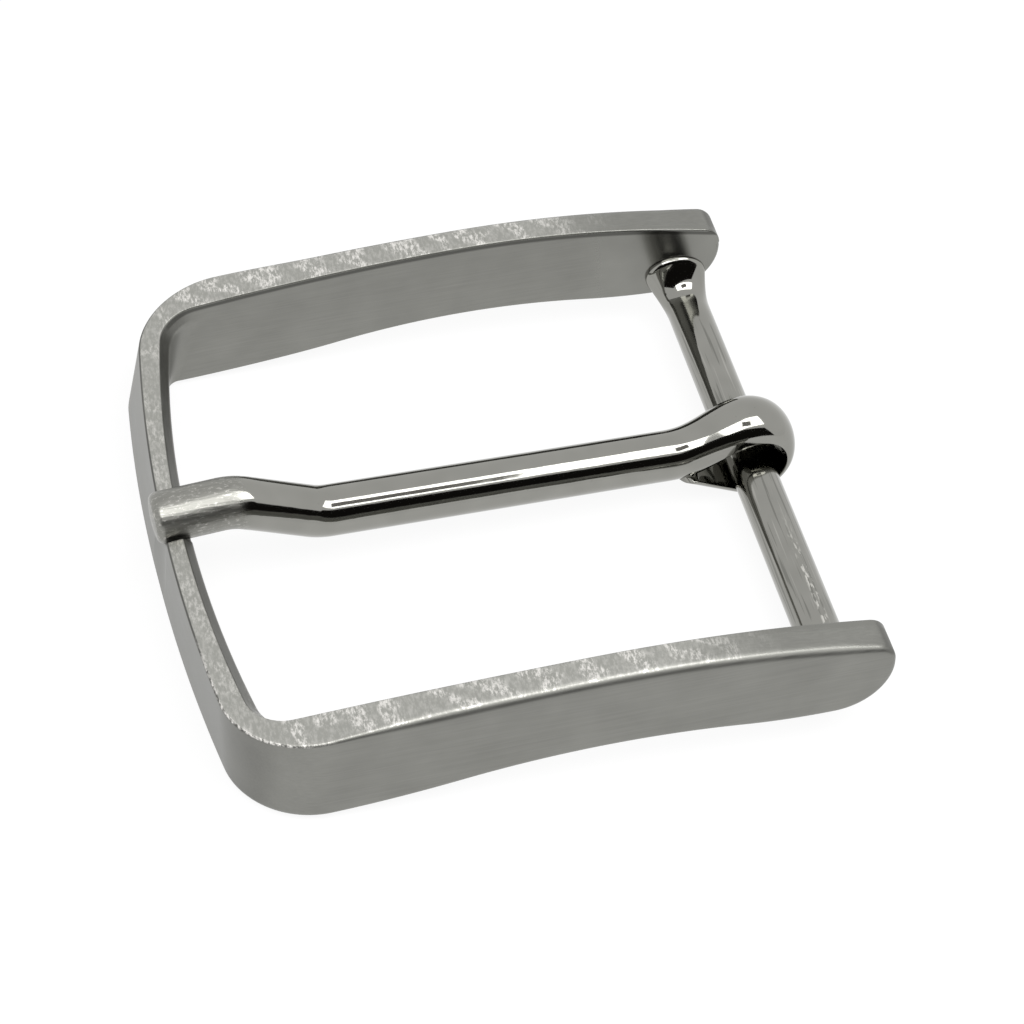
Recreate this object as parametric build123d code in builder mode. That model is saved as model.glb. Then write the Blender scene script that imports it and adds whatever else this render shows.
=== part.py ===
"""Single-prong belt buckle for a 38 mm strap: a cast arched frame and a loose swinging prong.

Two pieces, as the real buckle has.  The frame is one casting: a bowed front bar, two deep
side plates and a dropped round heel bar that the strap end folds round.  The prong hangs on
the heel bar by its open eye, and its tip lies in a notch in the front bar.

Millimetres.  The origin is on the heel bar's axis, midway between the side plates.  The
frame's own level has +X to the rear and +Z up; the finished buckle is pitched nose-down
about the heel bar, as it rests on a table on its two front corners and the prong's eye.
"""

from math import asin, atan2, cos, degrees, hypot, radians, sin
import os

from build123d import *

os.makedirs("parts", exist_ok=True)

# Strap and frame plan
STRAP_WIDTH = 38.0
STRAP_PLAY = 1.4  # clear width at the heel bar beyond the strap's width
WINDOW_HOLLOW = 0.45  # how far each plate's inner face is hollowed at its middle
SIDE_WALL = 2.4  # side plate, at its middle
FRONT_REACH = 42.5  # heel bar axis to the front bar's top outer edge
FRONT_BOW = 1.9  # the front bar's outer edge stands this far ahead of its ends
FRONT_LEAN = 0.7  # the front face's foot stands ahead of its top edge
FRONT_TOP_FLAT = 1.0  # front bar's flat top, at the middle
WINDOW_BOW = 2.1  # the window's front edge stands this far ahead of its ends
OUTER_CORNER = 5.8
WINDOW_CORNER = 2.4
BEVEL_WIDTH = 0.8  # bevel along the window's front edge, fading out in its corners
BEVEL_DEPTH = 0.95

# Frame side profile, as heights above the heel bar's axis
FRONT_HEIGHT = 6.75
CROWN_HEIGHT = 8.15
CROWN_SETBACK = 17.0  # heel bar axis forward to the crown
NOSE_REACH = 2.9  # heel bar axis back to the plates' rear edge
NOSE_TOP_HEIGHT = 5.75
NOSE_TOP_ROUND = 1.5
NOSE_UPRIGHT = 1.45  # the nose's upright stretch, from its top corner before that is rounded
HEEL_HEIGHT = 0.3
ARCH_REAR_HEIGHT = 0.78
ARCH_REAR_SETBACK = 7.5
ARCH_FRONT_HEIGHT = 0.92
ARCH_FRONT_SETBACK = 26.5
FOOT_HEIGHT = 0.14
FOOT_SETBACK = 38.0
OUTER_RIM_BREAK = 0.25
WINDOW_RIM_BREAK = 0.2
OVERCUT = 2.0  # how far cutting outlines run past what they cut

# Heel bar
BAR_DIAMETER = 3.2
FLARE_LENGTH = 2.6  # the bar swells into each plate over this length
FLARE_SHIFT = 0.5  # and moves its centre forward by this much
FLARE_HALF_LENGTH = 2.3
FLARE_COVER = 0.6  # its root stops this far below the top of the nose's under round
FLARE_MIDDLE_SHARE = 0.25  # of the swell, reached halfway along the flare

# Prong, in its own plane
PRONG_RADIUS = 1.83
PAD_RUN = 5.0  # front bar's top outer edge to where the pad's and joggle's centre lines meet
PAD_HEIGHT = 7.08
JOGGLE_RUN = 5.85  # from there to where the joggle's and the shank's centre lines meet
SHANK_FRONT_HEIGHT = 4.1
SHANK_REAR_SETBACK = 6.2
SHANK_REAR_HEIGHT = 1.67
JOGGLE_BEND = 4.0  # centre-line radius of both bends
TIP_OVERHANG = 0.5  # the tip's end, ahead of the front bar's top outer edge
TIP_CLEARANCE = 0.1  # under the tip, in its notch
NOTCH_PLAY = 0.35  # beside the tip, in its notch

# The prong's eye, a crowned strip wrapped round the heel bar
EYE_INNER_RADIUS = 2.2
BAR_CLEARANCE = 0.1  # between the bar and the eye, where they bear
EYE_DRIFT = 2.35  # the loose eye lies this far off the middle of the bar
EYE_HALF_WIDTH = 2.2
EYE_THICKNESS = 2.2  # over the bar
EYE_BASE_THICKNESS = 1.15  # under the bar
EYE_SETBACK = 0.4  # the strip's outer centre, forward of the bar
EYE_SINK = 0.35  # roundness of the strip's inner side, over the bar
EYE_WRAP = 212.0  # degrees round the bar from its top, before the straight free end
EYE_TEAR_SETBACK = 4.5  # heel bar axis forward to the point of the eye's teardrop opening
EYE_TAIL_GAP = 0.2  # between the eye's free end and the shank

# What follows from those
BAR_PLATE = (STRAP_WIDTH + STRAP_PLAY) / 2
WINDOW_HALF = BAR_PLATE + WINDOW_HOLLOW
OUTER_HALF = WINDOW_HALF + SIDE_WALL
BAR_RADIUS = BAR_DIAMETER / 2
FOOT_REACH = FRONT_REACH + FRONT_LEAN
NOSE_UNDER_ROUND = NOSE_TOP_HEIGHT - NOSE_UPRIGHT - HEEL_HEIGHT
FLARE_HALF_HEIGHT = (NOSE_UNDER_ROUND - FLARE_COVER) / 2
FLARE_RISE = HEEL_HEIGHT + FLARE_HALF_HEIGHT
PAD_REAR_SETBACK = FRONT_REACH - PAD_RUN
SHANK_FRONT_SETBACK = PAD_REAR_SETBACK - JOGGLE_RUN
EYE_RISE = EYE_INNER_RADIUS - BAR_RADIUS - BAR_CLEARANCE
EYE_TOP = EYE_RISE + EYE_INNER_RADIUS
EYE_OUTER_RADIUS = EYE_INNER_RADIUS + (EYE_THICKNESS + EYE_BASE_THICKNESS) / 2
EYE_OUTER_RISE = EYE_RISE + (EYE_THICKNESS - EYE_BASE_THICKNESS) / 2
EYE_CROWN = EYE_THICKNESS - EYE_SINK
NOTCH_RADIUS = PRONG_RADIUS + NOTCH_PLAY
NOTCH_HEIGHT = PAD_HEIGHT + NOTCH_PLAY - TIP_CLEARANCE
TIP_REACH = FRONT_REACH + TIP_OVERHANG
SHANK_SLOPE = degrees(
    atan2(SHANK_FRONT_HEIGHT - SHANK_REAR_HEIGHT, SHANK_FRONT_SETBACK - SHANK_REAR_SETBACK)
)

# Resting pitch: the tangent from the front feet to the underside of the eye
foot_to_eye = hypot(FOOT_REACH - EYE_SETBACK, EYE_OUTER_RISE - FOOT_HEIGHT)
REST_PITCH = degrees(
    asin(EYE_OUTER_RADIUS / foot_to_eye)
    - atan2(EYE_OUTER_RISE - FOOT_HEIGHT, FOOT_REACH - EYE_SETBACK)
)
LEVEL = Plane.XY.rotated((0, -REST_PITCH, 0))
SIDE = Plane(origin=(0, 0, 0), x_dir=LEVEL.x_dir, z_dir=-LEVEL.y_dir)

# The prong's own level: its eye off the middle of the bar, its pad on the middle of the notch
SKEW = degrees(atan2(EYE_DRIFT, FRONT_REACH - FRONT_TOP_FLAT))
PRONG = Plane(
    origin=LEVEL.from_local_coords((0, EYE_DRIFT, 0)),
    x_dir=LEVEL.x_dir.rotate(Axis(LEVEL.origin, LEVEL.z_dir), SKEW),
    z_dir=LEVEL.z_dir,
)
PRONG_SIDE = Plane(origin=PRONG.origin, x_dir=PRONG.x_dir, z_dir=-PRONG.y_dir)


def outer_outline():
    """The frame's plan outline at its foot: bowed front, straight sides, open rear."""
    with BuildSketch(LEVEL.offset(FOOT_HEIGHT)) as outline:
        with BuildLine():
            front = ThreePointArc(
                (FRONT_BOW - FOOT_REACH, -OUTER_HALF),
                (-FOOT_REACH, 0),
                (FRONT_BOW - FOOT_REACH, OUTER_HALF),
            )
            rear = NOSE_REACH + OVERCUT
            Polyline(front @ 1, (rear, OUTER_HALF), (rear, -OUTER_HALF), front @ 0)
        make_face()
        fillet(outline.vertices().group_by(Axis.X)[0], OUTER_CORNER)
    return outline.sketch


def window_outline(height):
    """The window's plan outline: bowed front, hollowed sides, run out past the rear."""
    rear = NOSE_REACH + OVERCUT
    window_reach = FRONT_REACH - FRONT_TOP_FLAT - BEVEL_WIDTH
    with BuildSketch(LEVEL.offset(height)) as outline:
        with BuildLine():
            front = ThreePointArc(
                (WINDOW_BOW - window_reach, -BAR_PLATE),
                (-window_reach, 0),
                (WINDOW_BOW - window_reach, BAR_PLATE),
            )
            middle = (WINDOW_BOW - window_reach + rear) / 2
            left = ThreePointArc(front @ 1, (middle, WINDOW_HALF), (rear, BAR_PLATE))
            right = ThreePointArc((rear, -BAR_PLATE), (middle, -WINDOW_HALF), front @ 0)
            Line(left @ 1, right @ 0)
        make_face()
        fillet(outline.vertices().group_by(Axis.X)[0], WINDOW_CORNER)
    return outline.sketch


def side_profile():
    """The plates' profile from the side: low arch above, shallow arch below, rounded nose."""
    front = -FOOT_REACH - OVERCUT
    nose_base = (NOSE_REACH, HEEL_HEIGHT + NOSE_UNDER_ROUND)
    nose_heel = (NOSE_REACH - NOSE_UNDER_ROUND, HEEL_HEIGHT)
    with BuildSketch(SIDE) as profile:
        with BuildLine():
            crown = (-CROWN_SETBACK, CROWN_HEIGHT)
            fore = TangentArc(crown, (-FRONT_REACH, FRONT_HEIGHT), tangent=(-1, 0))
            lead = Line(fore @ 1, fore @ 1 + (fore % 1) * (FRONT_LEAN + OVERCUT))
            aft = TangentArc(crown, (NOSE_REACH, NOSE_TOP_HEIGHT), tangent=(1, 0))
            nose = TangentArc(nose_base, nose_heel, tangent=(0, -1))
            Line(aft @ 1, nose @ 0)
            heel = TangentArc(
                nose @ 1, (-ARCH_REAR_SETBACK, ARCH_REAR_HEIGHT), tangent=nose % 1
            )
            arch = TangentArc(
                heel @ 1, (-ARCH_FRONT_SETBACK, ARCH_FRONT_HEIGHT), tangent=heel % 1
            )
            foot = TangentArc(arch @ 1, (-FOOT_SETBACK, FOOT_HEIGHT), tangent=arch % 1)
            Polyline(foot @ 1, (front, FOOT_HEIGHT), lead @ 1)
        make_face()
        fillet(profile.vertices().sort_by_distance(aft @ 1)[0], NOSE_TOP_ROUND)
    return profile.sketch


def is_rim(edge):
    """Whether an edge is one of the plates' curved rims, and not a straight seam across them."""
    return edge.geom_type != GeomType.LINE


def frame_piece():
    """The casting: plan outline cut to the side profile, with window, bevel, bar and notch."""
    rise = FRONT_HEIGHT - FOOT_HEIGHT
    top = CROWN_HEIGHT + OVERCUT
    with BuildPart() as casting:
        extrude(
            outer_outline(),
            amount=top * hypot(rise, FRONT_LEAN) / rise,
            dir=LEVEL.z_dir * rise + LEVEL.x_dir * FRONT_LEAN,
        )
        extrude(side_profile(), amount=OUTER_HALF + OVERCUT, both=True, mode=Mode.INTERSECT)
        chamfer(casting.edges().filter_by(is_rim), OUTER_RIM_BREAK)
        extrude(window_outline(FOOT_HEIGHT - OVERCUT), amount=top + OVERCUT, mode=Mode.SUBTRACT)
        rims = casting.edges(Select.LAST)
        rear_rims = rims.filter_by(Axis(LEVEL.origin, LEVEL.z_dir)).filter_by_position(
            Axis.X, 0, NOSE_REACH + OVERCUT
        )
        chamfer(rims.filter_by(is_rim) + rear_rims, WINDOW_RIM_BREAK)
        extrude(
            window_outline(FRONT_HEIGHT - BEVEL_DEPTH),
            amount=2 * hypot(BEVEL_DEPTH, BEVEL_WIDTH),
            dir=LEVEL.z_dir * BEVEL_DEPTH - LEVEL.x_dir * BEVEL_WIDTH,
            mode=Mode.SUBTRACT,
        )
        add_heel_bar()
        cut_notch()
    casting.part.label = "frame"
    return casting.part


def bar_section(y, share):
    """An upright elliptical section of the heel bar, so much of the way from round to root."""
    half_length = BAR_RADIUS + (FLARE_HALF_LENGTH - BAR_RADIUS) * share
    half_height = BAR_RADIUS + (FLARE_HALF_HEIGHT - BAR_RADIUS) * share
    with BuildSketch(SIDE.offset(-y)) as section:
        with Locations((-FLARE_SHIFT * share, FLARE_RISE * share)):
            Ellipse(half_length, half_height)
    return section.sketch


def add_heel_bar():
    """Round bar whose ends lift and swell into the plates."""
    neck = BAR_PLATE - FLARE_LENGTH
    extrude(bar_section(0, 0), amount=neck, both=True)
    for side in (-1, 1):
        middle = bar_section(side * (neck + FLARE_LENGTH / 2), FLARE_MIDDLE_SHARE)
        root = bar_section(side * BAR_PLATE, 1)
        loft([bar_section(side * neck, 0), middle, root])
        extrude(root, amount=-side * SIDE_WALL / 2)


def cut_notch():
    """Round-bottomed groove through the top of the front bar, for the prong's tip."""
    behind = Plane(
        origin=LEVEL.from_local_coords((-FRONT_REACH - OVERCUT, 0, NOTCH_HEIGHT + NOTCH_RADIUS)),
        x_dir=LEVEL.y_dir,
        z_dir=LEVEL.x_dir,
    )
    with BuildSketch(behind) as groove:
        SlotCenterToCenter(2 * NOTCH_RADIUS, 2 * NOTCH_RADIUS, rotation=90)
    length = FRONT_TOP_FLAT + BEVEL_WIDTH + 2 * OVERCUT
    extrude(groove.sketch, amount=length, mode=Mode.SUBTRACT)


def prong_path():
    """The prong's centre line from the tip to the eye: pad, joggle and falling shank."""
    with BuildLine(PRONG_SIDE) as path:
        FilletPolyline(
            (PRONG_RADIUS - TIP_REACH, PAD_HEIGHT),
            (-PAD_REAR_SETBACK, PAD_HEIGHT),
            (-SHANK_FRONT_SETBACK, SHANK_FRONT_HEIGHT),
            (-SHANK_REAR_SETBACK, SHANK_REAR_HEIGHT),
            radius=JOGGLE_BEND,
        )
    return path.wires()[0]


def strip_section(x, z, slope, half_width, crown, sink):
    """One section across the prong: arcs above and below a level chord."""
    along = PRONG.x_dir * cos(radians(slope)) + PRONG.z_dir * sin(radians(slope))
    plane = Plane(origin=PRONG.from_local_coords((x, 0, z)), x_dir=PRONG.y_dir, z_dir=along)
    with BuildSketch(plane) as section:
        with BuildLine():
            ThreePointArc((half_width, 0), (0, crown), (-half_width, 0))
            ThreePointArc((half_width, 0), (0, -sink), (-half_width, 0))
        make_face()
    return section.sketch


def climb_section():
    """The strip halfway up from the round shank to the top of the eye."""
    share = 1 / 2
    half_width = (PRONG_RADIUS + EYE_HALF_WIDTH) * share
    under = (SHANK_REAR_HEIGHT - PRONG_RADIUS + EYE_TOP) * share
    over = (SHANK_REAR_HEIGHT + PRONG_RADIUS + EYE_TOP + EYE_THICKNESS) * share
    sink = (PRONG_RADIUS + EYE_SINK) * share
    x = -(SHANK_REAR_SETBACK + EYE_SETBACK) * share
    slope = degrees(atan2(EYE_TOP, SHANK_REAR_SETBACK))
    crown = (over - under - sink) * cos(radians(slope))
    return strip_section(x, under + sink, slope, half_width, crown, sink)


def under_line(x):
    """Height of the strip's underside where it climbs, as a straight line over the setback."""
    base = SHANK_REAR_HEIGHT - PRONG_RADIUS
    return EYE_TOP + (EYE_TOP - base) * x / SHANK_REAR_SETBACK


def eye_tail(end):
    """The strip's straight free end, cut off just short of the shank's underside."""
    climb = under_line(0) - under_line(-SHANK_REAR_SETBACK)
    cut = Plane(
        origin=PRONG.from_local_coords((0, 0, under_line(0) - EYE_TAIL_GAP)),
        x_dir=PRONG.y_dir,
        z_dir=PRONG.z_dir * SHANK_REAR_SETBACK - PRONG.x_dir * climb,
    )
    with BuildPart() as tail:
        extrude(end, amount=EYE_TEAR_SETBACK)
        split(bisect_by=cut, keep=Keep.BOTTOM)
    return tail.part


def eye_opening():
    """The teardrop opening seen from the side: the bore, drawn out to the free end."""
    point = (-EYE_TEAR_SETBACK, under_line(-EYE_TEAR_SETBACK) - EYE_TAIL_GAP / 2)
    with BuildSketch(PRONG_SIDE) as opening:
        with Locations((0, EYE_RISE)):
            Circle(EYE_INNER_RADIUS)
        with Locations(point):
            Circle(EYE_TAIL_GAP / 2)
        make_hull()
    return opening.sketch


def prong_piece():
    """The prong: round pad, joggle and shank, climbing to a crowned eye wrapped round the bar."""
    start = Plane(
        origin=PRONG.from_local_coords((PRONG_RADIUS - TIP_REACH, 0, PAD_HEIGHT)),
        x_dir=PRONG.y_dir,
        z_dir=PRONG.x_dir,
    )
    with BuildPart() as prong:
        with BuildSketch(start) as bar:
            Circle(PRONG_RADIUS)
        sweep(bar.sketch, path=prong_path())
        with Locations(start):
            Sphere(PRONG_RADIUS)
        shank_end = strip_section(
            -SHANK_REAR_SETBACK,
            SHANK_REAR_HEIGHT,
            -SHANK_SLOPE,
            PRONG_RADIUS,
            PRONG_RADIUS,
            PRONG_RADIUS,
        )
        eye_start = strip_section(
            -EYE_SETBACK, EYE_TOP + EYE_SINK, 0, EYE_HALF_WIDTH, EYE_CROWN, EYE_SINK
        )
        loft([shank_end, climb_section(), eye_start])
        wrap = Axis(PRONG.from_local_coords((-EYE_SETBACK, 0, EYE_OUTER_RISE)), PRONG.y_dir)
        revolve(eye_start, axis=wrap, revolution_arc=EYE_WRAP)
        add(eye_tail(eye_start.rotate(wrap, EYE_WRAP)))
        extrude(eye_opening(), amount=EYE_HALF_WIDTH + OVERCUT, both=True, mode=Mode.SUBTRACT)
    prong.part.label = "prong"
    return prong.part


frame = frame_piece()
prong = prong_piece()
export_step(frame, "parts/frame.step")
export_step(prong, "parts/prong.step")
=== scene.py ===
"""Single-prong belt buckle in satin and polished nickel, on a plain white floor.

Metres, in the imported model's own frame: the origin is on the heel bar's axis, midway between
the side plates, +X runs to the rear and +Z is up.  Shapes are worked out in millimetres in the
buckle's own level, and are then pitched a few degrees nose-down about the heel bar, as the
buckle rests on its front corners and the prong's eye.
"""

from math import radians

import bpy
import numpy as np
from mathutils import Matrix, Vector


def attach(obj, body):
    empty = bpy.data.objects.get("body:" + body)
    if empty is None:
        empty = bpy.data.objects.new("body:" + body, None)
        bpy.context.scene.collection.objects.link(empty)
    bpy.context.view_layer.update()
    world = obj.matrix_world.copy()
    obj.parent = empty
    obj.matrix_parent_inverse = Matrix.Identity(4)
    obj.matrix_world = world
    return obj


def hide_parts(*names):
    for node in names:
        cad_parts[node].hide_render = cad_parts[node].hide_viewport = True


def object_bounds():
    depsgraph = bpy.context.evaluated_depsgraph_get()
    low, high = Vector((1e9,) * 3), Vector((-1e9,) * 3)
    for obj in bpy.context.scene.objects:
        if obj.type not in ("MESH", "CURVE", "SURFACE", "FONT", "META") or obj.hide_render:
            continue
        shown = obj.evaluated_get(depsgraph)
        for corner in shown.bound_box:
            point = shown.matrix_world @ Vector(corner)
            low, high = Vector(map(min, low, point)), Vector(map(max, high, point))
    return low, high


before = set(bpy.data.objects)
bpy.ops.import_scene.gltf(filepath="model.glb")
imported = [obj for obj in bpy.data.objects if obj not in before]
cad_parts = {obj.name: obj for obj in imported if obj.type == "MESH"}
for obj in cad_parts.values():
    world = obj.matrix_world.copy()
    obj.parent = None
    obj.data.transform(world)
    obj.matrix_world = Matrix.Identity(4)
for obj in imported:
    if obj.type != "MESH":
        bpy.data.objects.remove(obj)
cad_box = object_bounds()

MM = 0.001

# Camera: where it stands, which way it looks, and how it is tipped about its own line of sight
CAMERA_PLACE = (-60.91, -145.23, 157.61)
CAMERA_AZIMUTH = -16.47
CAMERA_ELEVATION = 46.19
CAMERA_ROLL = 4.163
CAMERA_LENS = 108.64

# Frame in plan, from the heel bar's axis forward
STRAP_HALF = 19.7  # half the clear width between the plates, at the heel bar
HOLLOW = 0.45  # each plate's inner face is hollowed by this at its middle
SIDE_WALL = 2.4
FRONT_REACH = 42.5
FRONT_BOW = 1.9
FRONT_LEAN = 0.75  # the front face's foot stands ahead of its top edge
FRONT_TWIST = 0.03  # and more so, per millimetre, towards the far side
FAR_LEAN = 0.01  # with this much again on the far half alone
TOP_FLAT = 1.3
BEVEL_WIDTH = 0.5
BEVEL_DEPTH = 0.75
WINDOW_BOW = 2.1
OUTER_TOP_CORNER = 6.6
OUTER_FOOT_CORNER = 6.1
WINDOW_TOP_CORNER = 3.2
WINDOW_FOOT_CORNER = 1.0
WINDOW_REAR = 4.9  # the window's hollowed sides would end this far behind the bar's axis
OUTER_HALF = STRAP_HALF + HOLLOW + SIDE_WALL
WINDOW_REACH = FRONT_REACH - TOP_FLAT - BEVEL_WIDTH

# Frame from the side: (distance behind the bar's axis, height above it)
CROWN = (-17.0, 8.15)
FRONT_TOP = (-FRONT_REACH, 6.75)
NOSE_TOP = (2.9, 5.75)
NOSE_TOP_ROUND = 1.5
NOSE_UNDER_ROUND = 4.0
HEEL = (NOSE_TOP[0] - NOSE_UNDER_ROUND, 0.3)
ARCH_REAR = (-7.5, 0.78)
ARCH_FRONT = (-26.5, 0.92)
FOOT = (-38.0, 0.14)

# Rims, from sharp edge to tangent line
OUTER_TOP_RIM = 0.75
FRONT_TOP_RIM = 0.3
OUTER_FOOT_RIM = 0.4
INNER_TOP_RIM = 0.16
INNER_FOOT_RIM = 0.25

# Heel bar
BAR_RADIUS = 1.6
FLARE_LENGTH = 2.6
FLARE_RISE = 2.0
FLARE_SHIFT = 0.5
FLARE_HALF_LENGTH = 2.3
FLARE_HALF_HEIGHT = 1.7

# Prong, from the side in its own plane
PRONG_RADIUS = 1.83
PAD_HEIGHT = 7.08
PAD_REAR = (-37.5, PAD_HEIGHT)
SHANK_FRONT = (-31.65, 4.1)
SHANK_REAR = (-6.2, 1.67)
JOGGLE_BEND = 4.0
TIP_REACH = FRONT_REACH + 0.75
TIP_ROUND = 0.6
TIP_DOME = 0.12
NOTCH_HEIGHT = PAD_HEIGHT + 0.25
NOTCH_RADIUS = PRONG_RADIUS + 0.35

# The prong's eye
EYE_BORE = 2.2
EYE_CENTRE = (0.0, 0.5)
EYE_OUTER = 3.875
EYE_OUTER_CENTRE = (-0.4, 1.025)
EYE_HALF_WIDTH = 2.2
EYE_SINK = 0.35
EYE_DRIFT = 2.35
EYE_TEAR_POINT = (-4.5, 0.52)
EYE_TAIL_GAP = 0.2
EYE_TAIL_THINNING = 0.25  # the free end's share of thickness lost in drawing it out

# Resting pitch: the tangent from the front feet to the underside of the eye
eye_reach, eye_rise = np.subtract(EYE_OUTER_CENTRE, (-FRONT_REACH - FRONT_LEAN, FOOT[1]))
PITCH = np.arcsin(EYE_OUTER / np.hypot(eye_reach, eye_rise)) - np.arctan2(eye_rise, eye_reach)
SKEW = np.arctan2(EYE_DRIFT, FRONT_REACH - TOP_FLAT)


def place(points):
    """Level millimetres to model metres: turned by the resting pitch about the Y axis."""
    x, y, z = np.moveaxis(np.asarray(points, dtype=float), -1, 0)
    across, up = np.cos(PITCH), np.sin(PITCH)
    return np.stack([x * across - z * up, y, x * up + z * across], -1) * MM


def unit(vectors):
    """Vectors scaled to length one."""
    return vectors / np.linalg.norm(vectors, axis=-1, keepdims=True)


def smooth_step(x, low, high):
    """Cubic ramp from 0 at low to 1 at high."""
    t = np.clip((x - low) / (high - low), 0, 1)
    return t * t * (3 - 2 * t)


def ring_faces(rings, around):
    """Quads of a grid of rings, each ring closed on itself."""
    i, j = np.meshgrid(np.arange(rings - 1), np.arange(around), indexing="ij")
    k = (j + 1) % around
    below, above = i * around, (i + 1) * around
    return np.stack([below + j, above + j, above + k, below + k], -1)


def end_caps(rings, around):
    """The first and the last ring as one face each."""
    last = (rings - 1) * around
    return [list(range(around)), list(range(last, last + around))[::-1]]


def make_piece(name, node, body, slot, material, points, quads, caps=()):
    """One closed smooth mesh from points in metres, turned so that its volume is positive."""
    points = points.reshape(-1, 3)
    quads = quads.reshape(-1, 4)
    a, b, c, d = (points[quads[:, k]] for k in range(4))
    volume = np.sum(np.cross(a, b) * c) + np.sum(np.cross(a, c) * d)
    faces = quads.tolist() + [list(cap) for cap in caps]
    if volume < 0:
        faces = [face[::-1] for face in faces]
    mesh = bpy.data.meshes.new(name)
    mesh.from_pydata(points.tolist(), [], faces)
    mesh.polygons.foreach_set("use_smooth", np.ones(len(faces), dtype=bool))
    mesh.materials.append(material)
    piece = bpy.data.objects.new(name, mesh)
    bpy.context.scene.collection.objects.link(piece)
    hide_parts(node)
    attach(piece, body)
    return piece


# ---- Camera, world and stage ----


def make_camera():
    """A long lens above the buckle's front left corner, tipped a little about its own axis."""
    azimuth, elevation = radians(CAMERA_AZIMUTH), radians(CAMERA_ELEVATION)
    level = np.cos(elevation)
    back = Vector((np.sin(azimuth) * level, -np.cos(azimuth) * level, np.sin(elevation)))
    data = bpy.data.cameras.new("camera")
    data.lens = CAMERA_LENS
    data.clip_start, data.clip_end = 0.01, 10
    camera = bpy.data.objects.new("camera", data)
    bpy.context.scene.collection.objects.link(camera)
    facing = back.to_track_quat("Z", "Y").to_matrix().to_4x4()
    roll = Matrix.Rotation(radians(CAMERA_ROLL), 4, "Z")
    camera.matrix_world = Matrix.Translation(Vector(CAMERA_PLACE) * MM) @ facing @ roll
    bpy.context.scene.camera = camera


class Socket:
    """A shader socket: arithmetic on it adds Math nodes."""

    def __init__(self, tree, link):
        self.tree, self.link = tree, link

    def math(self, operation, *values):
        settings = {"operation": operation}
        return self.tree.node("ShaderNodeMath", settings, dict(enumerate(values)))[0]

    def __add__(self, other):
        return self.math("ADD", self, other)

    def __sub__(self, other):
        return self.math("SUBTRACT", self, other)

    def __rsub__(self, other):
        return self.math("SUBTRACT", other, self)

    def __mul__(self, other):
        return self.math("MULTIPLY", self, other)

    def __neg__(self):
        return self.math("MULTIPLY", self, -1.0)

    def __abs__(self):
        return self.math("ABSOLUTE", self)

    def __pow__(self, power):
        return self.math("POWER", self, power)

    __radd__, __rmul__ = __add__, __mul__

    def ramp(self, low, high, to_low=0.0, to_high=1.0):
        """Smooth ramp of this value from low to high, onto another range."""
        settings = {"interpolation_type": "SMOOTHSTEP"}
        values = {0: self, 1: low, 2: high, 3: to_low, 4: to_high}
        return self.tree.node("ShaderNodeMapRange", settings, values)[0]


class Made:
    """A made node's outputs, by name or number, as sockets."""

    def __init__(self, tree, node):
        self.tree, self.node = tree, node

    def __getitem__(self, name):
        return Socket(self.tree, self.node.outputs[name])


class Tree:
    """An emptied node tree, with one method that adds any node."""

    def __init__(self, owner):
        owner.use_nodes = True
        self.nodes, self.links = owner.node_tree.nodes, owner.node_tree.links
        self.nodes.clear()

    def node(self, kind, settings=(), values=()):
        """Adds a node: its settings come first, then its sockets' values or links."""
        node = self.nodes.new(kind)
        for name, value in dict(settings).items():
            setattr(node, name, value)
        for name, value in dict(values).items():
            if isinstance(value, Socket):
                self.links.new(value.link, node.inputs[name])
            else:
                node.inputs[name].default_value = value
        return Made(self, node)

    def noise(self, vector, scale, detail=2.0, roughness=0.5):
        """Noise about 0, from a vector in millimetres."""
        values = {"Vector": vector, "Scale": scale, "Detail": detail, "Roughness": roughness}
        return self.node("ShaderNodeTexNoise", (), values)["Fac"] - 0.5

    def stretched(self, vector, scale):
        """A vector scaled axis by axis."""
        settings = {"operation": "MULTIPLY"}
        return self.node("ShaderNodeVectorMath", settings, {0: vector, 1: scale})[0]

    def blend(self, share, first, second):
        """Colour between two colours."""
        values = {0: share, 6: first, 7: second}
        return self.node("ShaderNodeMix", {"data_type": "RGBA"}, values)[2]


BUMP_STEP = 0.02


def level_place(tree):
    """The point in millimetres in the buckle's own level, and its three coordinates."""
    here = tree.node("ShaderNodeTexCoord")["Object"]
    values = {"Vector": here, "Rotation": (0, PITCH, 0), "Scale": (1 / MM,) * 3}
    point = tree.node("ShaderNodeMapping", (), values)["Vector"]
    parts = tree.node("ShaderNodeSeparateXYZ", (), {0: point})
    return point, parts["X"], parts["Y"], parts["Z"]


def metal(tree, colour, roughness, bump, strength):
    """A bare metal from a colour, a roughness and a bump height in units of BUMP_STEP."""
    values = {"Height": bump, "Strength": strength, "Distance": BUMP_STEP * MM}
    normal = tree.node("ShaderNodeBump", (), values)["Normal"]
    values = {"Base Color": colour, "Metallic": 1.0, "Roughness": roughness, "Normal": normal}
    shader = tree.node("ShaderNodeBsdfPrincipled", (), values)["BSDF"]
    tree.node("ShaderNodeOutputMaterial", (), {"Surface": shader})


def new_material(name):
    material = bpy.data.materials.new(name)
    return material, Tree(material)


SATIN_DARK = (0.1, 0.1, 0.092, 1)
SATIN_LIGHT = (0.34, 0.34, 0.315, 1)
# colour of the painted sparkle highlight
SATIN_PAINTED_SPARKLE = (0.9, 0.88, 0.84, 1)
POLISH_DARK = (0.2, 0.2, 0.183, 1)
POLISH_LIGHT = (0.62, 0.61, 0.57, 1)


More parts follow.
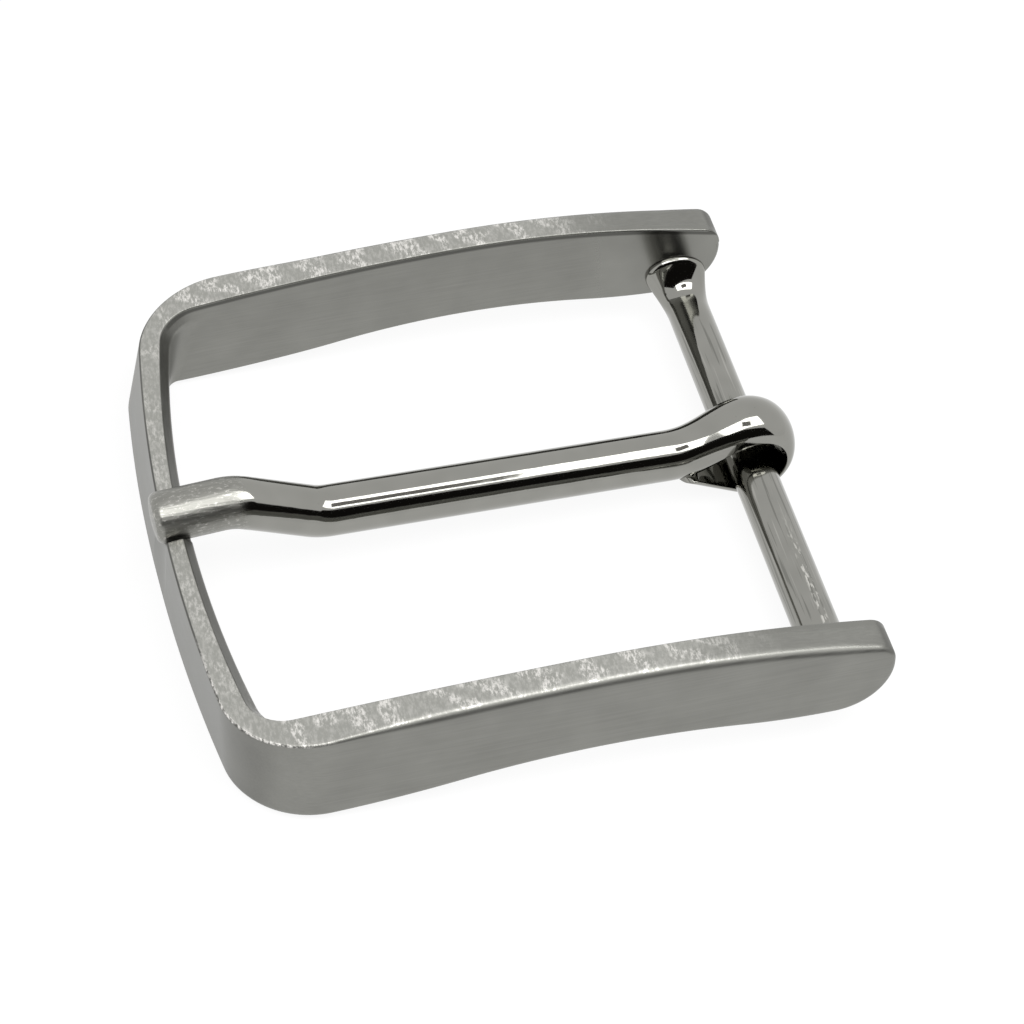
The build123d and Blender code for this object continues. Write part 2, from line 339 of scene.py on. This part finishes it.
def under_edge(x, z):
    """Depth below the frame's top line, taken as a parabola on either side of the crown."""
    behind = x - CROWN[0]
    fore, aft = behind.math("MINIMUM", behind, 0.0), behind.math("MAXIMUM", behind, 0.0)
    fall_fore = (CROWN[1] - FRONT_TOP[1]) / (FRONT_TOP[0] - CROWN[0]) ** 2
    fall_aft = (CROWN[1] - NOSE_TOP[1]) / (NOSE_TOP[0] - CROWN[0]) ** 2
    return CROWN[1] - fore**2 * fall_fore - aft**2 * fall_aft - z


def satin_nickel():
    """Brushed satin: grain along the band, and a painted highlight of rippling sparkle flecks on
    its top.

    It has painted shade: darker on the front's face and bevel, on the rims, and in a painted dark
    reflection line under the inner edge; its top faces are painted lighter, most of all ahead of
    the heel bar and on the front bar.  It is brighter and smoother on the plates' inner faces
    beside the heel bar.
    """
    material, tree = new_material("satin_nickel")
    point, x, y, z = level_place(tree)
    normal = tree.node("ShaderNodeTexCoord")["Normal"]
    facing = tree.node("ShaderNodeSeparateXYZ", (), {0: normal})

    top = facing["Z"].ramp(0.8, 0.97)
    front = (-x).ramp(37.0, 40.0)
    # masks for painted shade: the front's bevel, faces turned to the front, and the rims
    bevel = facing["X"].ramp(0.2, 0.5) * facing["Z"].ramp(0.2, 0.5) * front
    shaded = (-facing["X"]).ramp(0.45, 0.8)
    ahead = (-x).ramp(4.0, 14.0)
    corner = (-x).ramp(34.0, 38.0) * (-y).ramp(10.0, 16.0)
    rim = facing["Z"].ramp(0.15, 0.5) * (1 - facing["Z"].ramp(0.85, 0.97)) * (1 - bevel)
    buffed = x.ramp(-9.0, -4.0) * (1 - abs(y).ramp(20.2, 20.6))

    along = tree.noise(tree.stretched(point, (0.2, 8.0, 8.0)), 1.0, 3.0)
    across = tree.noise(tree.stretched(point, (8.0, 0.2, 8.0)), 1.0, 3.0)
    grain = (along * (1 - front) + across * front) * (1 - buffed)
    fleck = tree.noise(tree.stretched(point, (4.5, 1.8, 4.5)), 1.0, 4.0, 0.75)
    cloud = tree.noise(point, 0.3, 2.0)
    slant = x * 2.0 + y * 1.2 + cloud * 14.0
    wave = slant.math("SINE", slant)
    ripple = wave.ramp(-0.5, 0.7) * (1 - front * 0.7) * ahead
    # painted highlight: bright sparkle flecks in rippling bands on the top faces and on the near
    # front corner's rim
    painted_sparkle = fleck.ramp(-0.09, 0.15) * (top * (ripple * 0.65 + ahead * 0.2) + rim * corner)

    # a painted dark reflection line just under the inner top edge
    depth = under_edge(x, z)
    inward = (-(y * facing["Y"])).ramp(8.0, 14.0)
    line = depth.ramp(0.1, 0.2) * (1 - depth.ramp(0.35, 0.55)) * inward

    # the top term is painted light: top faces lighter, more so on the front bar and ahead of the
    # heel bar
    shade = grain * 0.28 + cloud * 0.3 + 0.56 + top * (front * 0.3 + ahead * 0.5)
    # painted shade: darker on the bevel, on faces turned to the front, on the rims, and along the
    # painted dark reflection line
    shade = shade - bevel * 0.3 - shaded * 0.22 - line * 0.6 - rim * 0.3
    colour = tree.blend(shade, SATIN_DARK, SATIN_LIGHT)
    colour = tree.blend(painted_sparkle, colour, SATIN_PAINTED_SPARKLE)
    roughness = 0.37 + grain * 0.14 + cloud * 0.1 - painted_sparkle * 0.1 - buffed * 0.2 + rim * 0.15
    bump = grain * 0.5 + fleck * top * 1.5
    metal(tree, colour, roughness, bump, 0.5)
    return material


def polish(tree, point, lines):
    """What both bright pieces share: shade, roughness and bump from soft waves and pits."""
    wave = tree.noise(point, 0.5, 1.0)
    pits = tree.noise(point, 4.0, 3.0).ramp(0.18, 0.3)
    roughness = 0.07 + abs(lines) * 0.08 + pits * 0.1
    return 0.5 + wave * 0.3 - pits * 0.3, roughness, lines * 0.15 + wave * 2.0


def bright_bar():
    """The bar's polish: painted reflections of dark and light lines along it, and a painted
    highlight streak on its near half.
    """
    material, tree = new_material("bright_bar")
    point, x, y, _ = level_place(tree)
    between = 1 - abs(y).ramp(14.0, 16.5)
    lines = tree.noise(tree.stretched(point, (5.0, 0.12, 5.0)), 1.0) * between
    shade, roughness, bump = polish(tree, point, lines)
    # painted highlight: a glinting streak of bright flecks on the bar's near half
    painted_glint = tree.noise(tree.stretched(point, (6.0, 1.5, 6.0)), 1.0, 3.0).ramp(0.0, 0.12)
    painted_glint_band = x.ramp(0.0, 0.2) * (1 - x.ramp(0.45, 0.65)) * (-y).ramp(4.0, 12.0)
    # painted reflections: dark and light lines along the bar
    shade = shade - lines.ramp(0.06, 0.14) * 0.9 + lines.ramp(-0.2, -0.1, 0.5, 0.0)
    shade = shade + painted_glint * painted_glint_band * 2.2
    metal(tree, tree.blend(shade * 0.4, POLISH_DARK, POLISH_LIGHT), roughness, bump, 0.4)
    return material


def bright_prong():
    """The prong's polish: faint lines along the shank, and a brushed pad with painted highlight
    flecks.
    """
    material, tree = new_material("polished_nickel")
    point, x, _, _ = level_place(tree)
    lines = tree.noise(tree.stretched(point, (0.3, 5.0, 5.0)), 1.0)
    shade, roughness, bump = polish(tree, point, lines)
    pad = (-x).ramp(36.2, 37.4)
    brush = tree.noise(tree.stretched(point, (0.5, 9.0, 9.0)), 1.0, 3.0)
    fleck = tree.noise(tree.stretched(point, (2.5, 5.0, 5.0)), 1.0, 4.0, 0.75).ramp(0.03, 0.2)
    # the pad's bright flecks are a painted sparkle highlight; its brush grain is the metal's own
    # tone
    shade = shade + pad * (brush * 0.8 + fleck * 1.6 - 0.2)
    roughness = roughness + pad * (0.26 + brush * 0.2)
    bump = bump + pad * brush * 2.0
    metal(tree, tree.blend(shade * 0.4, POLISH_DARK, POLISH_LIGHT), roughness, bump, 0.4)
    return material


def make_world():
    """White all round, seen by the camera and in reflections, and a plain light elsewhere."""
    world = bpy.data.worlds.new("world")
    bpy.context.scene.world = world
    tree = Tree(world)
    rays = tree.node("ShaderNodeLightPath")
    seen = rays["Is Camera Ray"] + rays["Is Glossy Ray"] + rays["Is Transmission Ray"]
    values = {"Color": (1, 1, 1, 1), "Strength": seen.ramp(0.0, 1.0) * 0.3 + 0.7}
    light = tree.node("ShaderNodeBackground", (), values)["Background"]
    tree.node("ShaderNodeOutputWorld", (), {"Surface": light})


def stage_sheet(name, corners, colour, glow):
    """A flat sheet of the studio: this share of it glows, and the rest is matt."""
    mesh = bpy.data.meshes.new(name)
    mesh.from_pydata([Vector(corner) * MM for corner in corners], [], [[0, 1, 2, 3]])
    material, tree = new_material(name)
    matt = tree.node("ShaderNodeBsdfDiffuse", (), {"Color": (*colour, 1)})["BSDF"]
    light = tree.node("ShaderNodeEmission", (), {"Color": (*colour, 1)})["Emission"]
    mixed = tree.node("ShaderNodeMixShader", (), {0: glow, 1: matt, 2: light})[0]
    tree.node("ShaderNodeOutputMaterial", (), {"Surface": mixed})
    mesh.materials.append(material)
    sheet = bpy.data.objects.new(name, mesh)
    bpy.context.scene.collection.objects.link(sheet)
    return sheet


FLOOR_GAP = 0.02
FLOOR_HALF = 2500
FLOOR_GLOW = 0.9  # the rest of the floor is matt, and takes the buckle's shadow
# Cards: name, left and right ends, (y, z) of the lower and the upper edge, colour
CARDS = (
    ("low_screen", (-300, 360), (-330, 20), (-330, 335), (0.012, 0.011, 0.01)),
    ("lens_card", (-35, 65), (-140, 226), (-70, 255), (0.3, 0.29, 0.28)),
)
LAMP_PLACE = (20, -125, 306)
LAMP_AIM = (-20, 0, 3)
LAMP_SIZE = (420, 190)
LAMP_POWER = 1.25


def make_stage():
    """A white floor, and dark cards about the studio that only the polish mirrors."""
    low = cad_box[0][2] / MM - FLOOR_GAP
    far = FLOOR_HALF
    corners = ((-far, -far, low), (far, -far, low), (far, far, low), (-far, far, low))
    stage_sheet("floor", corners, (1.0, 1.0, 1.0), FLOOR_GLOW)
    for name, (left, right), low_edge, high_edge, colour in CARDS:
        outline = ((left, *low_edge), (right, *low_edge), (right, *high_edge), (left, *high_edge))
        card = stage_sheet(name, outline, colour, 1.0)
        card.visible_camera = card.visible_diffuse = card.visible_shadow = False


def make_lamp():
    """One wide soft lamp overhead, a little to the viewer's side."""
    data = bpy.data.lights.new("overhead", "AREA")
    data.shape = "RECTANGLE"
    data.size, data.size_y = (side * MM for side in LAMP_SIZE)
    data.energy = LAMP_POWER
    lamp = bpy.data.objects.new("overhead", data)
    bpy.context.scene.collection.objects.link(lamp)
    away = Vector(np.subtract(LAMP_PLACE, LAMP_AIM))
    turned = away.to_track_quat("Z", "Y").to_matrix().to_4x4()
    lamp.matrix_world = Matrix.Translation(Vector(LAMP_PLACE) * MM) @ turned


# ---- The frame's outlines ----

# Stations along the band: the nose, the side, the corner, the front bar and its notch
NOSE_SAMPLES = 200
NOSE_STEPS = 26
SIDE_STEPS = 70
CORNER_STEPS = 26
FRONT_STEPS = 40
NOTCH_STEPS = 52
NOTCH_REACH = 2.6  # half the stretch of the front bar with close stations
NOTCH_SOFTNESS = 0.06
CORNER_PASSES = 8

# Points round the band's section; the underside has as many as the top, its corner and the bevel
ROUND_STEPS = 6
WALL_STEPS = 6
TOP_STEPS = 8
BEVEL_STEPS = 4
UNDER_STEPS = TOP_STEPS + ROUND_STEPS + BEVEL_STEPS

# Where the sides give way to the front, ahead of the heel bar's axis
FRONT_START = 10.0 - CROWN[0]
FRONT_END = FRONT_REACH - OUTER_TOP_CORNER


def arc(x, start, slope, end):
    """Height and slope, at x, of the circle that leaves start at a slope and passes end."""
    normal = np.array([-slope, 1.0]) / np.hypot(slope, 1)
    chord = np.subtract(end, start)
    radius = chord @ chord / (2 * (chord @ normal))
    centre = start + radius * normal
    height = centre[1] - np.sign(radius) * np.sqrt(radius**2 - (x - centre[0]) ** 2)
    return height, (x - centre[0]) / (centre[1] - height)


def top_height(x):
    """The plates' upper line: one arc from the crown forward and one to the rear."""
    fore, _ = arc(np.minimum(x, CROWN[0]), CROWN, 0.0, FRONT_TOP)
    aft, _ = arc(np.clip(x, CROWN[0], NOSE_TOP[0]), CROWN, 0.0, NOSE_TOP)
    return np.where(x < CROWN[0], fore, aft)


def under_height(x):
    """The plates' lower line: heel, arch and foot arcs, each tangent to the last."""
    heel, _ = arc(np.clip(x, ARCH_REAR[0], HEEL[0]), HEEL, 0.0, ARCH_REAR)
    _, rear_slope = arc(ARCH_REAR[0], HEEL, 0.0, ARCH_REAR)
    arch, _ = arc(np.clip(x, ARCH_FRONT[0], ARCH_REAR[0]), ARCH_REAR, rear_slope, ARCH_FRONT)
    _, front_slope = arc(ARCH_FRONT[0], ARCH_REAR, rear_slope, ARCH_FRONT)
    foot, _ = arc(np.clip(x, FOOT[0], ARCH_FRONT[0]), ARCH_FRONT, front_slope, FOOT)
    return np.where(x > ARCH_REAR[0], heel, np.where(x > ARCH_FRONT[0], arch, foot))


def resample(line, count):
    """Points evenly spaced along a densely worked out line."""
    lengths = np.linalg.norm(np.diff(line, axis=0), axis=1)
    along = np.concatenate([[0], np.cumsum(lengths)])
    wanted = np.linspace(0, along[-1], count)
    return np.stack([np.interp(wanted, along, column) for column in line.T], -1)


def nose_lines(count):
    """The nose's upper and lower lines, from its rearmost point forward to the heel."""
    sweep = np.linspace(0, 1, NOSE_SAMPLES)
    drop = NOSE_TOP[1] - CROWN[1]
    aft_radius = ((NOSE_TOP[0] - CROWN[0]) ** 2 + drop**2) / (-2 * drop)
    round_x = NOSE_TOP[0] - NOSE_TOP_ROUND
    reach = round_x - CROWN[0]
    lift = np.sqrt((aft_radius - NOSE_TOP_ROUND) ** 2 - reach**2)
    round_z = CROWN[1] - aft_radius + lift
    turn = sweep * np.arctan2(lift, reach)
    around = np.stack([np.cos(turn), np.sin(turn)], -1)
    corner = np.array([round_x, round_z]) + NOSE_TOP_ROUND * around
    x = np.linspace(corner[-1, 0], HEEL[0], NOSE_SAMPLES)[1:]
    upper = np.concatenate([corner, np.stack([x, top_height(x)], -1)])
    turn = sweep * np.pi / 2
    around = np.stack([np.cos(turn), 1 - np.sin(turn)], -1)
    lower = np.array(HEEL) + NOSE_UNDER_ROUND * around
    return resample(upper, count), resample(lower, count)


def bow_radius(half, bow):
    """Radius of an arc that stands ahead of its ends, half a chord away, by bow."""
    return (half**2 + bow**2) / (2 * bow)


def outer_front(corner):
    """The outer plan: front arc's radius and centre, corner's centre, angle where they meet."""
    radius = bow_radius(OUTER_HALF, FRONT_BOW)
    centre = radius - FRONT_REACH
    corner_y = OUTER_HALF - corner
    corner_x = centre - np.sqrt((radius - corner) ** 2 - corner_y**2)
    return radius, centre, (corner_x, corner_y), np.arctan2(corner_y, centre - corner_x)


def outer_side(x):
    """The outer wall's half width at x: straight."""
    return np.full_like(x, OUTER_HALF)


def window_side(x):
    """The window's half width at x: an arc hollowed into each plate."""
    middle = (WINDOW_REAR + WINDOW_BOW - WINDOW_REACH) / 2
    radius = bow_radius(WINDOW_REAR - middle, HOLLOW)
    return STRAP_HALF + HOLLOW - radius + np.sqrt(radius**2 - (x - middle) ** 2)


def window_front(corner):
    """The window's plan: front arc's radius and centre, corner's centre, angle where they meet."""
    radius = bow_radius(STRAP_HALF, WINDOW_BOW)
    centre = radius - WINDOW_REACH
    corner_x = corner - WINDOW_REACH
    for _ in range(CORNER_PASSES):
        corner_y = window_side(corner_x) - corner
        corner_x = centre - np.sqrt((radius - corner) ** 2 - corner_y**2)
    return radius, centre, (corner_x, corner_y), np.arctan2(corner_y, centre - corner_x)


def half_plan(radius, centre, corner, meet, size, side):
    """Stations of one plan line on one side of the buckle, from the heel to the middle line.

    Its stretches are the side, a corner arc of this size, and the front arc.
    """
    x = np.linspace(HEEL[0], corner[0], SIDE_STEPS)[1:]
    line = [np.stack([x, side(x)], -1)]
    angle = np.pi / 2 + (np.pi / 2 - meet) * np.linspace(0, 1, CORNER_STEPS)[1:]
    line.append(np.stack([corner[0] + size * np.cos(angle), corner[1] + size * np.sin(angle)], -1))
    last = line[1][-1, 1]
    beside = np.linspace(last, NOTCH_REACH, FRONT_STEPS)[1:]
    y = np.concatenate([beside, np.linspace(NOTCH_REACH, 0, NOTCH_STEPS)[1:]])
    line.append(np.stack([centre - np.sqrt(radius**2 - y**2), y], -1))
    return np.concatenate(line)


def outer_plan(corner):
    """The outer wall's plan line, with straight sides."""
    return half_plan(*outer_front(corner), corner, outer_side)


def window_plan(corner):
    """The inner wall's plan line, with hollowed sides."""
    return half_plan(*window_front(corner), corner, window_side)


def carry_on(nose, plan, height, side):
    """A rim line in space: along the nose's outline in its wall, then along the plan line."""
    start = np.stack([nose[:, 0], side(nose[:, 0]), nose[:, 1]], -1)
    return np.concatenate([start, np.column_stack([plan, height(plan[:, 0])])])


def notched(height, y):
    """Top heights, lowered where the round-bottomed notch runs through, with soft edges."""
    inside = np.sqrt(np.maximum(NOTCH_RADIUS**2 - y**2, 0))
    groove = np.where(np.abs(y) < NOTCH_RADIUS, NOTCH_HEIGHT - inside, height + NOTCH_HEIGHT)
    return (height + groove - np.hypot(height - groove, NOTCH_SOFTNESS)) / 2


def corner_round(start, control, end):
    """Quadratic curve from start to end that the sharp corner pulls on."""
    t = np.linspace(0, 1, ROUND_STEPS)[None, :, None]
    start, control, end = start[:, None], control[:, None], end[:, None]
    return start * (1 - t) ** 2 + control * (2 * t * (1 - t)) + end * t**2


def run(start, end, count):
    """Straight run between two corners, with support points close to each end."""
    t = np.concatenate([[0.03], np.linspace(0, 1, count)[1:-1], [0.97]])[None, :, None]
    return start[:, None] * (1 - t) + end[:, None] * t


def frame_band():
    """The band: a rounded wall section carried along the U from one nose to the other.

    Each section is a closed loop of outer wall, top, bevel, inner wall and underside, whose
    corners are quadratic curves.  Near a nose the loop's rims lean with the side outline, and
    its last loops are joined across, which closes the nose.
    """
    upper, lower = nose_lines(NOSE_STEPS)
    outer_top = carry_on(upper, outer_plan(OUTER_TOP_CORNER), top_height, outer_side)
    outer_foot = carry_on(lower, outer_plan(OUTER_FOOT_CORNER), under_height, outer_side)
    edge = carry_on(upper, window_plan(WINDOW_TOP_CORNER), top_height, window_side)
    inner_foot = carry_on(lower, window_plan(WINDOW_FOOT_CORNER), under_height, window_side)
    sides = len(upper)

    front = smooth_step(-outer_top[:, 0], FRONT_START, FRONT_END)
    outer_foot[:, 0] -= FRONT_LEAN * front
    bevel_foot = edge.copy()
    bevel_foot[:, 2] = FRONT_TOP[1] - BEVEL_DEPTH
    edge[:, 0] -= BEVEL_WIDTH * front * (edge[:, 2] - bevel_foot[:, 2]) / BEVEL_DEPTH
    edge[sides:, 2] = top_height(edge[sides:, 0])
    outer_top[:, 2] = notched(outer_top[:, 2], outer_top[:, 1])
    edge[:, 2] = notched(edge[:, 2], edge[:, 1])
    bevel_foot[:, 2] = np.minimum(bevel_foot[:, 2], edge[:, 2] - 0.1)

    up = np.array([0.0, 0.0, 1.0])
    down = np.tile(-up, (len(edge), 1))
    rise = np.tile(up, (len(edge), 1))
    for lean, line, turn in ((down, upper, -1), (rise, lower, 1)):
        along = unit(np.gradient(line, axis=0))
        lean[:sides] = np.stack([turn * along[:, 1], 0 * along[:, 0], -turn * along[:, 0]], -1)
        lean[0] = (-1, 0, 0)
    inward = unit((edge - outer_top) * (1, 1, 0))
    inward[: sides + 1] = (0, -1, 0)

    edge_down = edge + down * INNER_TOP_RIM
    foot_up = inner_foot + rise * INNER_FOOT_RIM
    ease = front[:, None]
    bevel_foot = (edge_down * 0.7 + foot_up * 0.3) * (1 - ease) + bevel_foot * ease
    edge_down = edge + unit(down * (1 - ease) + unit(bevel_foot - edge) * ease) * INNER_TOP_RIM
    foot_in = bevel_foot + (edge_down - bevel_foot) * 0.2
    foot_out = bevel_foot + (foot_up - bevel_foot) * 0.05

    top_rim = OUTER_TOP_RIM + (FRONT_TOP_RIM - OUTER_TOP_RIM) * ease
    top_rim[:sides, 0] = np.linspace(OUTER_FOOT_RIM, OUTER_TOP_RIM, sides)
    wall_low, wall_high = outer_foot + rise * OUTER_FOOT_RIM, outer_top + down * top_rim
    top_out, top_in = outer_top + inward * top_rim, edge - inward * INNER_TOP_RIM
    under_in, under_out = inner_foot - inward * INNER_FOOT_RIM, outer_foot + inward * OUTER_FOOT_RIM
    wall_middle = (wall_low + wall_high) / 2
    inner_middle = (foot_out + foot_up) / 2
    loop = [
        run(wall_middle, wall_high, WALL_STEPS),
        corner_round(wall_high, outer_top, top_out),
        run(top_out, top_in, TOP_STEPS),
        corner_round(top_in, edge, edge_down),
        run(edge_down, foot_in, BEVEL_STEPS),
        corner_round(foot_in, bevel_foot, foot_out),
        run(foot_out, inner_middle, WALL_STEPS),
        run(inner_middle, foot_up, WALL_STEPS),
        corner_round(foot_up, inner_foot, under_in),
        run(under_in, under_out, UNDER_STEPS),
        corner_round(under_out, outer_foot, wall_low),
        run(wall_low, wall_middle, WALL_STEPS),
    ]
    half = np.concatenate(loop, axis=1)
    whole = np.concatenate([half, half[-2::-1] * (1, -1, 1)])
    x, y, z = np.moveaxis(whole, -1, 0)
    forward = smooth_step(-x, FRONT_START, FRONT_END)
    below = (top_height(x) - z) / (FRONT_TOP[1] - FOOT[1])
    whole[:, :, 0] -= forward * below * (FRONT_TWIST * y + FAR_LEAN * np.maximum(y, 0))
    rings, around = whole.shape[:2]
    quads = ring_faces(rings, around)
    k = np.arange(around // 2 - 1)
    nose = np.stack([k, k + 1, around - 2 - k, around - 1 - k], -1)
    # The same strip at the other nose, wound the other way
    far = nose[:, ::-1] + (rings - 1) * around
    closed = np.concatenate([quads.reshape(-1, 4), nose, far])
    return place(whole), closed


BAR_ROOT = 0.9  # the bar's ends stand this deep in the plates
BAR_AROUND = 64
FLARE_STEPS = 28


def heel_bar():
    """The bar: ellipses along Y, round in the middle and growing by a cube law into each plate."""
    root = STRAP_HALF + BAR_ROOT
    neck = STRAP_HALF - FLARE_LENGTH
    y = np.concatenate([np.linspace(neck, root, FLARE_STEPS), [neck / 2]])
    y = np.unique(np.concatenate([-y, [0], y]))
    swell = np.clip((np.abs(y) - neck) / FLARE_LENGTH, 0, 1) ** 3
    angle = np.linspace(0, 2 * np.pi, BAR_AROUND, endpoint=False)
    half_length = BAR_RADIUS + (FLARE_HALF_LENGTH - BAR_RADIUS) * swell
    half_height = BAR_RADIUS + (FLARE_HALF_HEIGHT - BAR_RADIUS) * swell
    x = -FLARE_SHIFT * swell[:, None] + half_length[:, None] * np.cos(angle)
    z = FLARE_RISE * swell[:, None] + half_height[:, None] * np.sin(angle)
    points = np.stack([x, np.repeat(y[:, None], BAR_AROUND, 1), z], -1)
    return place(points), ring_faces(len(y), BAR_AROUND), end_caps(len(y), BAR_AROUND)


# ---- The prong ----


BEND_STEPS = 40
CLIMB_STEPS = 40
EYE_STEPS = 110
TAIL_STEPS = 12
PRONG_AROUND = 72
CLIMB_LEAVE = 7.5  # how far the climb holds the shank's direction, and then the eye's
CLIMB_ARRIVE = 5.5
TAIL_SINK = 0.12  # depth of the strip's inner face at its free end
TAIL_NARROWING = 0.23
TAIL_TURN = 0.8  # radians over which the free end thins


def bend(before, corner, after, radius):
    """The arc that rounds a corner of the centre line."""
    a, b = unit(np.subtract(before, corner)), unit(np.subtract(after, corner))
    half = np.arccos(np.clip(a @ b, -1, 1)) / 2
    reach = radius / np.tan(half)
    centre = np.array(corner) + unit(a + b) * radius / np.sin(half)
    start, end = np.array(corner) + a * reach - centre, np.array(corner) + b * reach - centre
    t = np.linspace(0, 1, BEND_STEPS)[:, None]
    span = np.pi - 2 * half
    return centre + (start * np.sin((1 - t) * span) + end * np.sin(t * span)) / np.sin(span)


def line_points(start, end, count):
    """Evenly spaced points from start to end, without either."""
    t = np.linspace(0, 1, count + 2)[1:-1, None]
    return np.asarray(start) * (1 - t) + np.asarray(end) * t


def eye_ring(angle):
    """The eye at an angle: the way out, the bore's point, and the wall out to the outer circle."""
    out = np.stack([np.cos(angle), np.sin(angle)], -1)
    bore = np.array(EYE_CENTRE) + out * EYE_BORE
    gap = bore - np.array(EYE_OUTER_CENTRE)
    near = np.sum(out * gap, -1)
    return out, bore, -near + np.sqrt(near**2 - np.sum(gap**2, -1) + EYE_OUTER**2)


EYE_START = np.arctan2(np.sqrt(EYE_BORE**2 - EYE_OUTER_CENTRE[0] ** 2), EYE_OUTER_CENTRE[0])


def prong_path():
    """The strip's inner chord in its own plane, with outward normals, widths and heights.

    A blunt tip with a rounded rim, pad, joggle and shank; a climb by a cubic curve onto the
    eye; the bore's circle; and a straight tail up to the shank's underside.
    """
    tip = np.array([TIP_ROUND + TIP_DOME - TIP_REACH, PAD_HEIGHT])
    first = bend(tip, PAD_REAR, SHANK_FRONT, JOGGLE_BEND)
    second = bend(PAD_REAR, SHANK_FRONT, SHANK_REAR, JOGGLE_BEND)
    flat = np.linspace(0.02, 1, 9)[:-1]
    swing = np.linspace(0, np.pi / 2, 16)[:-1]
    ahead = np.concatenate([TIP_ROUND + TIP_DOME * (1 - flat**2), TIP_ROUND * np.cos(swing)])
    dome = tip - np.stack([ahead, 0 * ahead], -1)
    bar = [dome, [tip], line_points(tip, first[0], 8), first, line_points(first[-1], second[0], 6)]
    bar += [second, line_points(second[-1], SHANK_REAR, 60), [SHANK_REAR]]
    line = np.concatenate([np.asarray(part) for part in bar])
    radius = np.full(len(line), PRONG_RADIUS)
    face = PRONG_RADIUS - TIP_ROUND
    radius[: len(ahead)] = np.concatenate([face * flat, face + TIP_ROUND * np.sin(swing)])

    slope = unit(np.subtract(SHANK_REAR, SHANK_FRONT))
    t = np.linspace(0, 1, CLIMB_STEPS)[1:, None]
    out, _, _ = eye_ring(EYE_START)
    top = np.array(EYE_CENTRE) + out * (EYE_BORE + EYE_SINK)
    arrival = np.array([out[1], -out[0]])
    climb = (
        np.array(SHANK_REAR) * (2 * t**3 - 3 * t**2 + 1)
        + slope * CLIMB_LEAVE * (t**3 - 2 * t**2 + t)
        + top * (3 * t**2 - 2 * t**3)
        + arrival * CLIMB_ARRIVE * (t**3 - t**2)
    )
    return line, radius, climb


def prong_sections():
    """Chord points, outward normals, half widths, crowns and sinks from the tip to the tail."""
    line, radius, climb = prong_path()
    ease = smooth_step(np.linspace(0, 1, CLIMB_STEPS)[1:], 0.15, 1.0)
    crown_top = eye_ring(EYE_START)[2] - EYE_SINK
    widths = [radius, PRONG_RADIUS + (EYE_HALF_WIDTH - PRONG_RADIUS) * ease]
    crowns = [radius, PRONG_RADIUS + (crown_top - PRONG_RADIUS) * ease]
    sinks = [radius, PRONG_RADIUS + (EYE_SINK - PRONG_RADIUS) * ease]

    tear = np.subtract(EYE_TEAR_POINT, EYE_CENTRE)
    leave = np.arctan2(tear[1], tear[0]) + np.arccos(EYE_BORE / np.hypot(*tear)) - 2 * np.pi
    angle = np.linspace(EYE_START, leave, EYE_STEPS)[1:]
    out, bore, wall = eye_ring(angle)
    wall *= 1 - EYE_TAIL_THINNING * (1 - smooth_step(angle, leave, leave + TAIL_TURN))
    fade = smooth_step(angle, leave, EYE_START)
    sink = TAIL_SINK + (EYE_SINK - TAIL_SINK) * fade
    wrap = bore + out * sink[:, None]
    widths.append(EYE_HALF_WIDTH - TAIL_NARROWING * (1 - fade))
    crowns.append(wall - sink)
    sinks.append(sink)

    chord = np.concatenate([line, climb, wrap])
    along = unit(np.gradient(chord, axis=0))
    normal = np.stack([-along[:, 1], along[:, 0]], -1)
    normal[-len(out):] = out
    return chord, normal, np.concatenate(widths), np.concatenate(crowns), np.concatenate(sinks)


def under_line(x):
    """The climbing strip's underside, as a straight line."""
    base = SHANK_REAR[1] - PRONG_RADIUS
    eye_top = EYE_CENTRE[1] + EYE_BORE
    return eye_top + (eye_top - base) * x / -SHANK_REAR[0]


def prong():
    """The prong: half-ellipses above and below the chord, carried along tip to tail.

    The last ring is carried straight on until it meets a line just under the shank.
    """
    chord, normal, width, crown, sink = prong_sections()
    angle = np.linspace(0, 2 * np.pi, PRONG_AROUND, endpoint=False)
    across = width[:, None] * np.cos(angle)
    height = np.where(np.sin(angle) > 0, crown[:, None], sink[:, None]) * np.sin(angle)
    x = chord[:, None, 0] + normal[:, None, 0] * height
    z = chord[:, None, 1] + normal[:, None, 1] * height
    rings = np.stack([x, across, z], -1)
    heading = np.array([normal[-1, 1], 0, -normal[-1, 0]])
    cut = np.array([under_line(0.0) - under_line(-1.0), 0, -1.0])
    room = (rings[-1] - (0, 0, under_line(0.0) - EYE_TAIL_GAP)) @ cut
    distance = -room / (heading @ cut)
    share = np.linspace(0, 1, TAIL_STEPS)[1:, None, None]
    tail = rings[-1] + heading * (distance[:, None] * share)
    rings = np.concatenate([rings, tail])
    x, y, z = np.moveaxis(rings, -1, 0)
    along, beside = np.cos(SKEW), np.sin(SKEW)
    turned = np.stack([x * along - y * beside, EYE_DRIFT + x * beside + y * along, z], -1)
    count = len(rings)
    return place(turned), ring_faces(count, PRONG_AROUND), end_caps(count, PRONG_AROUND)


make_camera()
make_world()
make_stage()
make_lamp()
bpy.context.scene.view_settings.view_transform = "Standard"
make_piece("frame_casting", "frame", "frame", "satin_nickel", satin_nickel(), *frame_band())
make_piece("heel_bar", "frame", "frame", "satin_nickel", bright_bar(), *heel_bar())
make_piece("prong_body", "prong", "prong", "polished_nickel", bright_prong(), *prong())
